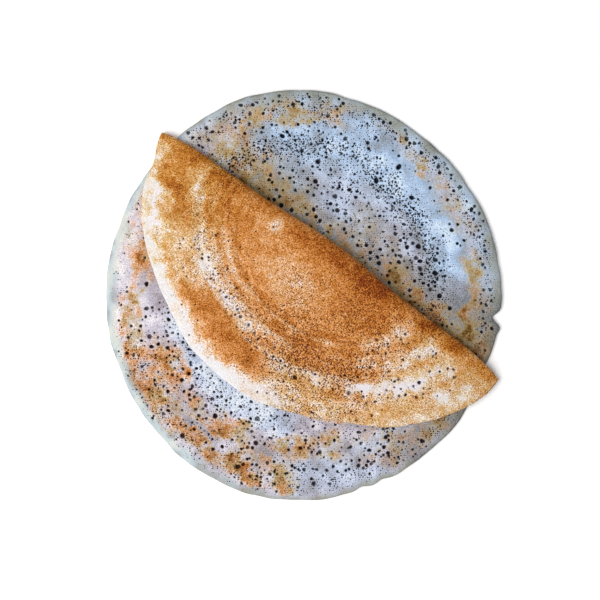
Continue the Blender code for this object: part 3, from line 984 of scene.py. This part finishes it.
def open_looks(u, v, share, angle):
    """Marks of the open dosa's pore side."""
    degrees = np.degrees(angle)
    ring = share + 0.030 * rough_mottle(u, v, 9.0, 11)
    direction = degrees + 4.0 * mottle(u, v, 12.0, 21)
    # The upper right is darker than the lower left. As the side away from the light, it is painted
    # bluer, like shade lit by a blue sky, and partly it is wetter.
    upper_right = smooth_step(0.5 + (u + v) / 60.0)
    tone, damp, toast = np.full_like(share, 0.5), upper_right, np.zeros_like(share)
    for arc in OPEN_TONES:
        tone = paint_arc(tone, ring, direction, arc)
    for arc in OPEN_BLUE_SHADE_AND_DAMP:
        damp = paint_arc(damp, ring, direction, arc)
    for arc in OPEN_TANS:
        toast = paint_arc(toast, ring, direction, arc)
    tone = tone - 0.04 * (1.0 - upper_right) + 0.20 * rough_mottle(u, v, 6.0, 91)
    tan_unevenness = (1.05 - 0.45 * upper_right) * rough_mottle(u, v, 6.0, 31)
    toast = toast * (1.10 - 0.10 * upper_right + tan_unevenness)

    # Painted shade of the fold, tinted brown like light bounced off the flap: beside the fold the crumb
    # is painted browner, darker and less blue, less so at its upper end.
    from_fold_u, from_fold_v = u - FOLD_MIDDLE[0], v - FOLD_MIDDLE[1]
    beside_fold = from_fold_v * math.cos(FOLD_TURN) - from_fold_u * math.sin(FOLD_TURN)
    along_fold = from_fold_u * math.cos(FOLD_TURN) + from_fold_v * math.sin(FOLD_TURN)
    upper_end = smooth_step((share - 0.66) / 0.14) * smooth_step((degrees - 80.0) / 15.0)
    fold_shade = 1.0 - 0.8 * upper_end
    fold_shade_tan = fold_shade * (0.34 + 0.34 * rough_mottle(u, v, 5.0, 37))
    toast = toast + fold_shade_tan * plateau((beside_fold - 4.0) / 12.5)
    fold_shade_tone = fold_shade * (0.22 + 0.32 * rough_mottle(u, v, 3.0, 93))
    tone = tone - fold_shade_tone * plateau((beside_fold - 2.0) / 18.0)
    off_middle = 1.0 - 0.75 * bell((along_fold - 2.0) / 20.0)
    tone = tone - 0.15 * fold_shade * off_middle * bell((beside_fold - 15.0) / 9.0)
    damp = damp - 0.30 * plateau((beside_fold - 4.0) / 14.0)
    # Painted shade: the very edge is dark at the upper right, on the rim's side that faces away from
    # the light.
    tone = tone - 0.12 * upper_right * smooth_step((share - 0.988) / 0.008)

    # Spreading the batter left a smooth swell just outside its middle, and fainter ones near the rim.
    groove = 0.65 + 0.06 * smooth_step((degrees - 50.0) / 20.0) + 0.012 * mottle(u, v, 22.0, 43)
    middle = smooth_step((groove - share) / 0.04)
    swell = 0.34 * bell((share - groove - 0.09) / 0.07)
    swell = swell - 0.34 * middle - 0.16 * bell((share - groove) / 0.018)
    swell = swell + 0.54 * rough_mottle(u, v, 12.0, 41) + 0.26 * mottle(u, v, 4.2, 51)
    # Under the folded dosa it lies nearly smooth.
    covered = smooth_step((8.0 - beside_fold) / 8.0) * smooth_step((0.60 - share) / 0.10)
    swell = swell * (1.0 - 0.9 * covered)

    # The rim is dry and clear, in a wide band at the left and a ragged one at the upper right.
    pale_rim = 0.034 * plateau(away_from(degrees, 198.0) / 60.0)
    start = 0.972 - 0.032 * upper_right - pale_rim
    ragged = (0.02 + 0.025 * upper_right) * rough_mottle(u, v, 6.0, 71)
    crisp = smooth_step((share - start + ragged) / (0.03 + 0.02 * upper_right))
    crisp = (0.9 - 0.3 * upper_right) * crisp
    see_through = 0.22 * upper_right * smooth_step((share - 0.90) / 0.05)

    # Pinholes are open in a band outside the groove and one near the rim, and closed at the left.
    fine_band = upper_right * bell((share - groove - 0.02) / 0.05) + 0.5 * bell((share - 0.92) / 0.04)
    smooth_band = bell((share - 0.84) / 0.05) * upper_right * smooth_step((70.0 - degrees) / 20.0)
    left = plateau(away_from(degrees, 168.0) / 26.0)
    pin = 0.60 + 0.36 * fine_band - 0.40 * smooth_band - 0.35 * left
    pin = (pin + 0.16 * rough_mottle(u, v, 12.0, 61)) * smooth_step((0.998 - share) / 0.02)
    golden = 0.32 + 0.68 * upper_right + 0.4 * bell(away_from(degrees, 282.0) / 28.0)
    marks = {
        "toast": toast,
        "crisp": crisp + see_through,
        "pin": pin,
        "damp": damp,
        "golden": golden,
        "tone": tone,
    }
    return {mark: np.clip(values, 0.0, 1.0) for mark, values in marks.items()} | {"swell": swell}


def place_in_open(share, angle):
    rim_u, rim_v = open_rim(angle)
    return float(rim_u) * share, float(rim_v) * share


def make_open_dosa(crumb, crust):
    rng = np.random.default_rng(463)
    board = PoreBoard()
    pores = scatter_pores(rng, board, open_shares, place_in_open, OPEN_LARGE_PORES, OPEN_PORES)
    top = Side(rng, board, pores, open_shares, open_rim, FINE_SPACING, everywhere)
    under = Side(rng, PoreBoard(), (), open_shares, open_rim, COARSE_SPACING, nowhere)
    return make_bread(
        "open_dosa_bread", lay_flat, open_shares, top, under, top, open_looks, (crumb, crust)
    )


# ---------------------------------------------------------------- the folded dosa

FLAP_RING = (109.0, 86.0)  # half the length and the reach of the flap's outer ring, seen from above

# The flap's large pores: along the crease, away from it, and their radius.
FLAP_LARGE_PORES = (
    (50.5, 52.0, 1.18), (23.0, 62.0, 1.18), (76.6, 26.0, 1.01), (67.0, 31.0, 0.76),
    (54.2, 68.9, 1.01), (80.0, 33.0, 0.92), (45.8, 21.0, 0.84), (55.8, 10.0, 0.84),
    (66.0, 33.0, 0.76), (87.0, 10.0, 0.76), (60.6, 30.6, 0.67), (62.8, 21.4, 0.67),
    (42.7, 55.3, 0.67), (-30.5, 49.3, 0.84), (-28.9, 42.3, 0.76), (-18.5, 53.2, 0.92),
    (-12.5, 54.2, 0.84), (-2.9, 53.0, 0.67), (-38.5, 37.0, 0.67), (-52.5, 40.5, 0.76),
    (-50.0, 38.0, 0.67), (-56.5, 37.5, 0.59), (-22.0, 51.0, 0.76), (7.5, 60.0, 0.76),
    (12.0, 59.5, 0.76), (30.5, 54.5, 0.67), (57.6, 49.0, 0.76), (-32.0, 5.5, 0.59),
)

# Its smaller pores, along its rings: ring, spread, two end angles, how many to try, smallest and
# largest radius.
FLAP_PORES = (
    (0.64, 0.030, 97, 150, 110, 0.30, 0.70),
    (0.68, 0.030, 45, 97, 70, 0.30, 0.70),
    (0.53, 0.030, 8, 40, 22, 0.36, 0.80),
    (0.65, 0.040, 8, 50, 40, 0.34, 0.80),
    (0.80, 0.050, 8, 52, 46, 0.32, 0.80),
    (0.88, 0.040, 50, 85, 30, 0.34, 0.80),
    (0.478, 0.005, 62, 122, 64, 0.28, 0.46),
    (0.505, 0.006, 64, 108, 40, 0.26, 0.42),
    (0.51, 0.012, 115, 155, 44, 0.26, 0.45),
    (0.60, 0.100, 60, 150, 190, 0.26, 0.50),
    (0.60, 0.200, 10, 170, 130, 0.26, 0.46),
    (0.83, 0.060, 80, 140, 60, 0.26, 0.50),
)

# How browned the flap is along its rings: ring, half width, two end angles, how much, and how fully.
FLAP_ARCS = (
    (0.28, 0.13, 84, 135, 0.42, 0.90),
    (0.462, 0.020, 44, 116, 0.66, 0.85),
    (0.495, 0.012, 60, 116, 0.40, 0.75),
    (0.42, 0.035, 116, 150, 0.58, 0.80),
    (0.54, 0.030, 44, 100, 0.66, 0.80),
    (0.60, 0.028, 80, 150, 0.27, 0.85),
    (0.60, 0.040, 20, 46, 0.28, 0.85),
    (0.53, 0.025, 112, 150, 0.28, 0.80),
    (0.51, 0.040, 4, 40, 0.32, 0.80),
    (0.48, 0.050, 150, 176, 0.74, 0.80),
    (0.65, 0.036, 96, 152, 0.13, 0.85),
    (0.65, 0.030, 46, 80, 0.64, 0.65),
    (0.71, 0.040, 124, 150, 0.18, 0.75),
    (0.715, 0.026, 163, 178, 0.20, 0.90),
    (0.68, 0.024, 152, 168, 0.24, 0.90),
    (0.655, 0.024, 138, 154, 0.20, 0.90),
    (0.79, 0.065, 84, 122, 0.66, 0.90),
    (0.71, 0.025, 82, 100, 0.48, 0.80),
    (0.80, 0.050, 124, 152, 0.28, 0.80),
    (0.76, 0.040, 138, 152, 0.26, 0.70),
    (0.80, 0.070, 154, 164, 0.56, 0.85),
    (0.80, 0.070, 164, 180, 0.70, 0.85),
    (0.84, 0.160, 6, 84, 0.28, 0.92),
    (0.73, 0.032, 14, 52, 0.08, 0.80),
    (0.72, 0.035, 52, 84, 0.22, 0.80),
    (0.65, 0.035, 4, 34, 0.16, 0.80),
    (0.84, 0.032, 8, 46, 0.32, 0.65),
    (0.79, 0.030, 52, 84, 0.50, 0.65),
    (0.90, 0.035, 40, 76, 0.34, 0.70),
    (0.95, 0.030, 6, 40, 0.30, 0.70),
    (0.76, 0.026, 10, 46, 0.06, 0.75),
    (0.93, 0.050, 72, 90, 0.04, 0.85),
)

# And in patches: along the crease, away from it, two half sizes, how much, and how fully.
FLAP_PATCHES = (
    (28, 10, 18, 14, 0.76, 0.85),
    (0, 4, 24, 5, 0.70, 0.70),
    (-4, 24, 14, 8, 0.34, 0.60),
    (-50, 8, 10, 10, 0.60, 0.60),
    (-88, 12, 9, 12, 0.70, 0.85),
    (-72, 4, 9, 6, 0.62, 0.60),
    (-85, 37, 6, 5, 0.14, 0.60),
    (-78, 44, 7, 5, 0.22, 0.60),
    (-98, 28, 4, 6, 0.12, 0.75),
    (-95, 4, 6, 5, 0.74, 0.80),
    (-100, 17, 3, 4, 0.36, 0.70),
    (-85, 25, 5, 6, 0.60, 0.60),
    (-74, 34, 7, 5, 0.54, 0.60),
    (-51, 41, 7, 6, 0.06, 0.75),
    (-50, 60, 13, 5, 0.76, 0.70),
    (-16, 67, 14, 5, 0.74, 0.70),
    (54, 10, 6, 4, 0.22, 0.55),
    (70, 8, 5, 4.5, 0.10, 0.75),
    (77, 26, 8, 5, 0.08, 0.60),
    (89, 25, 5, 4, 0.06, 0.60),
    (83, 10, 6, 6, 0.16, 0.50),
    (42, 63, 6, 3, 0.50, 0.60),
    (60, 50, 7, 3, 0.56, 0.60),
    (24, 70, 7, 3, 0.40, 0.50),
    (15, 74, 7, 4, 0.14, 0.80),
    (-31.5, 5, 3.5, 4, 0.14, 0.80),
    (101, 8, 8, 8, 0.36, 0.80),
    (100, 2, 7, 2.5, 0.66, 0.80),
    (99, 13, 4, 3, 0.24, 0.50),
    (99, 19.5, 5, 3, 0.14, 0.60),
    (-52, 12, 12, 7, 0.66, 0.70),
)

# Ridges and grooves that spreading left: ring, half width, two end angles, height in mm, how fully.
FLAP_RIDGES = (
    (0.705, 0.020, 138, 172, 0.50, 1.0),
    (0.660, 0.014, 118, 162, -0.26, 1.0),
    (0.600, 0.018, 60, 150, 0.22, 1.0),
    (0.545, 0.013, 95, 165, -0.24, 1.0),
    (0.500, 0.014, 40, 168, 0.26, 1.0),
    (0.468, 0.013, 40, 150, -0.30, 1.0),
    (0.640, 0.018, 20, 110, -0.22, 1.0),
    (0.770, 0.020, 20, 84, 0.16, 1.0),
    (0.840, 0.020, 90, 150, 0.14, 1.0),
)


def seen_from_above(u, v):
    """Where the flap's flat sheet comes to lie: away from the crease, and its ring and direction."""
    depth, _, quarter, pulled_back = fold_sizes(u)
    away = v - quarter + depth - pulled_back
    along, across = u / FLAP_RING[0], away / FLAP_RING[1]
    return away, np.hypot(along, across), np.degrees(np.arctan2(across, along))


def place_on_flap(u, away):
    """The place on the flat sheet of a place seen from above."""
    depth, _, quarter, pulled_back = fold_sizes(u)
    return u, float(away + quarter - depth + pulled_back)


def place_in_flap(ring, angle):
    return place_on_flap(FLAP_RING[0] * ring * math.cos(angle), FLAP_RING[1] * ring * math.sin(angle))


def flap_looks(u, v, share, angle):
    """Marks of the folded dosa's browned side."""
    away, true_ring, degrees = seen_from_above(u, v)
    ring = true_ring + 0.012 * rough_mottle(u, v, 8.0, 12)
    direction = degrees + 3.0 * mottle(u, v, 12.0, 15)
    patch_u = u + 2.0 * rough_mottle(u, v, 6.0, 13)
    patch_away = away + 2.0 * rough_mottle(u, v, 6.0, 14)
    toast = 0.58 + 0.03 * smooth_step((-u - 40.0) / 20.0)
    for arc in FLAP_ARCS:
        toast = paint_arc(toast, ring, direction, arc)
    for patch in FLAP_PATCHES:
        toast = paint_patch(toast, patch_u, patch_away, patch)

    # Towards its ends and its lower right edge the flap browned unevenly.
    ends = smooth_step((np.abs(u + 12.0) - 48.0) / 25.0)
    lower_right = smooth_step((away - 50.0) / 12.0) * smooth_step((u - 5.0) / 15.0)
    patchy = np.maximum(ends, lower_right)
    toast = toast + (0.06 + 0.16 * patchy) * rough_mottle(u, v, 5.5, 32)

    # Its edge was too thin to touch the iron, and stayed white.
    left = smooth_step((direction - 125.0) / 20.0)
    between_tips = smooth_step((direction - 68.0) / 24.0) * smooth_step((180.0 - direction) / 22.0)
    width = 0.02 + 0.112 * between_tips + 0.05 * (away < 0.0)
    ragged = (0.035 + 0.06 * left) * rough_mottle(u, v, 5.5, 33)
    edge = smooth_step((share - 0.99 + width + ragged) / 0.11)
    faint = np.clip(0.06 + 0.20 * rough_mottle(u, v, 4.5, 36), 0.0, 1.0) * (0.35 + 0.65 * left)
    toast = toast + (faint - toast) * edge

    # Along the crease the flap is browner.
    crease_brown = 0.10 + 0.10 * smooth_step((u + 25.0) / 30.0) - 0.12 * smooth_step((u - 78.0) / 16.0)
    toast = toast + crease_brown * plateau((away + 1.0) / 5.0)

    swell = 0.16 * rough_mottle(u, v, 12.0, 42) + 0.05 * mottle(u, v, 2.8, 52)
    ridges = np.zeros_like(share)
    for arc in FLAP_RIDGES:
        ridges = paint_arc(ridges, true_ring, direction, arc)
    right_end = smooth_step((u - 50.0) / 20.0)
    pin = 0.36 + 0.34 * smooth_step((u + 30.0) / 40.0) - 0.3 * right_end + 0.2 * lower_right
    pin = pin + 0.24 * bell((true_ring - 0.62) / 0.12) + 0.2 * rough_mottle(u, v, 14.0, 62)
    lined = 0.25 + 0.75 * plateau((true_ring - 0.58) / 0.17) * smooth_step((degrees - 20.0) / 30.0)
    left_end = smooth_step((-u - 30.0) / 50.0)
    moist = np.clip(0.6 + 0.5 * rough_mottle(u, v, 6.0, 35), 0.0, 1.0)
    return {
        "toast": np.clip(toast, 0.0, 1.0),
        "lined": lined * (away > -2.0),
        "pin": np.clip(pin, 0.0, 1.0),
        "golden": 0.1 + np.maximum(0.8 * left_end, 0.55 * np.maximum(right_end, lower_right)),
        "moist": moist * (0.45 + 0.55 * smooth_step((0.965 - share) / 0.05)),
        "damp": np.full_like(share, 0.4),
        "tone": np.full_like(share, 0.5),
        "ring": np.maximum(true_ring, 0.05),
        "turn": np.radians(degrees),
        "swell": swell + ridges,
    }


def make_folded_dosa(crumb, crust):
    rng = np.random.default_rng(464)
    board = PoreBoard()
    large = [(*place_on_flap(u, away), radius) for u, away, radius in FLAP_LARGE_PORES]
    pores = scatter_pores(rng, board, sheet_shares, place_in_flap, large, FLAP_PORES)
    browned = Side(
        rng, board, pores, sheet_shares, sheet_rim, FOLD_FINE_SPACING, lambda u, v: v > -NEAR_FOLD
    )
    inner = Side(
        rng, PoreBoard(), (), sheet_shares, sheet_rim, INNER_SPACING, lambda u, v: np.abs(v) < NEAR_FOLD
    )
    # A sheet's u by v side is its inner one here, because the flap is turned over.
    finishes = (crust, crumb)
    return make_bread(
        "folded_dosa_bread", lay_folded, sheet_shares, inner, browned, browned, flap_looks, finishes
    )


# ---------------------------------------------------------------- floor, light and camera


def make_floor():
    """A floor in matt white paint, just under the open dosa."""
    bpy.ops.mesh.primitive_plane_add(size=6.0, location=(0.0, 0.0, -0.2 * MM))
    floor = bpy.context.object
    floor.name = "floor"
    # Rolled wall paint scatters all its light, so it shows no gloss.
    paint = new_material("matt_white_paint")
    shade = add_node(paint, "BsdfPrincipled", Base_Color=linear("#ffffff"), Roughness=0.9)
    add_node(paint, "OutputMaterial", shade)
    floor.data.materials.append(paint)


def add_softbox(name, place, size, watts, colour):
    """A square soft light that faces the breads."""
    light = bpy.data.lights.new(name, "AREA")
    light.shape = "SQUARE"
    light.size = size
    light.energy = watts
    light.color = linear(colour)[:3]
    lamp = bpy.data.objects.new(name, light)
    lamp.location = place
    lamp.rotation_euler = (-Vector(place)).to_track_quat("-Z", "Y").to_euler()
    bpy.context.scene.collection.objects.link(lamp)


def make_lights():
    """Soft light from the left, and a pale room all round."""
    add_softbox("window_from_the_left", (-0.72, -0.28, 1.08), 1.00, 17.2, "#fff8f0")
    world = bpy.data.worlds.new("room")
    bpy.context.scene.world = world
    world.use_nodes = True
    background = world.node_tree.nodes["Background"]
    background.inputs["Color"].default_value = linear("#f2f6ff")
    background.inputs["Strength"].default_value = 0.55


def make_camera():
    """A camera that looks straight down on the breads."""
    camera = bpy.data.cameras.new("camera")
    height, shown_width = 0.80, 0.315
    camera.sensor_width = 36.0
    camera.lens = camera.sensor_width * height / shown_width
    eye = bpy.data.objects.new("camera", camera)
    eye.location = (-1.05 * MM, -1.6 * MM, height)
    bpy.context.scene.collection.objects.link(eye)
    bpy.context.scene.camera = eye


crumb, crust = steam_set_rice_crumb(), griddle_browned_rice_crust()
open_bread = make_open_dosa(crumb, crust)
folded_bread = make_folded_dosa(crumb, crust)
for bread, node_name, slot_name in (
    (open_bread, "open_dosa", "pale_porous_crumb"),
    (folded_bread, "folded_dosa", "griddle_browned_crust"),
):
    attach(bread, "root")
    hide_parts(node_name)
make_floor()
make_lights()
make_camera()
bpy.context.scene.view_settings.view_transform = "Standard"
